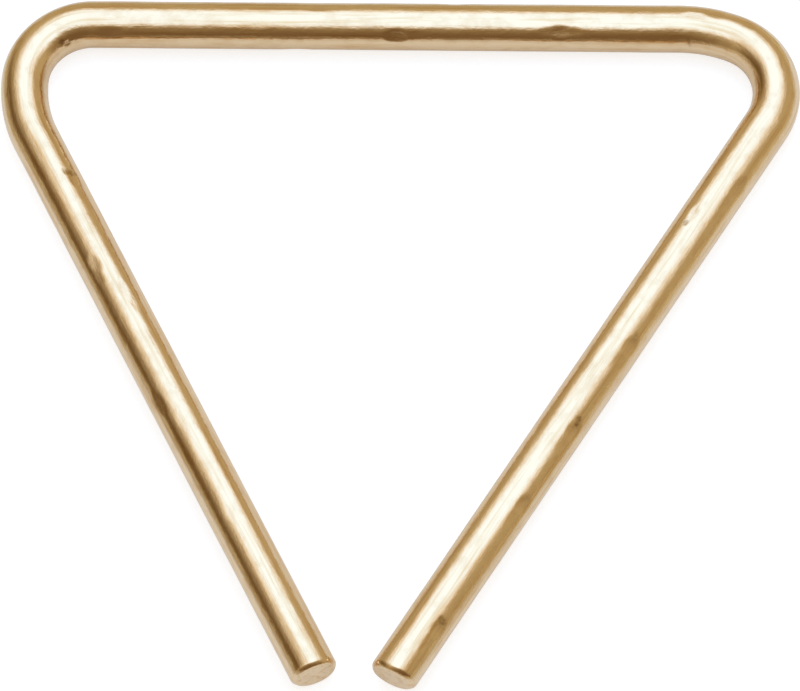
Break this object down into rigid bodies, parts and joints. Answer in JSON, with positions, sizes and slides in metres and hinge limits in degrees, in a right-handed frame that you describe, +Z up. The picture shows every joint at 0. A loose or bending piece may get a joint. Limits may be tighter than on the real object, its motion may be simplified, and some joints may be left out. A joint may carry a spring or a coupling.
{
  "type": "triangle instrument",
  "caption": "Hand-hammered bronze triangle: a round rod bent at two corners and open at the third, with chamfered tips, lying flat.",
  "frame": {"origin": "under the middle of the outline, on the surface that the rod lies on", "axes": "+X along the closed side from the left corner to the right one, +Y from the open corner to the closed side, +Z up, square to the plane of the triangle"},
  "size_m": [0.1522, 0.1396, 0.009],
  "materials": {
    "bronze": "polished bronze with hand-hammered marks"
  },
  "bodies": {
    "root": {"top_bar": "bronze", "left_corner": "bronze", "left_bow": "bronze", "left_leg": "bronze", "right_bow": "bronze", "right_corner": "bronze", "right_leg": "bronze"}
  },
  "joints": []
}
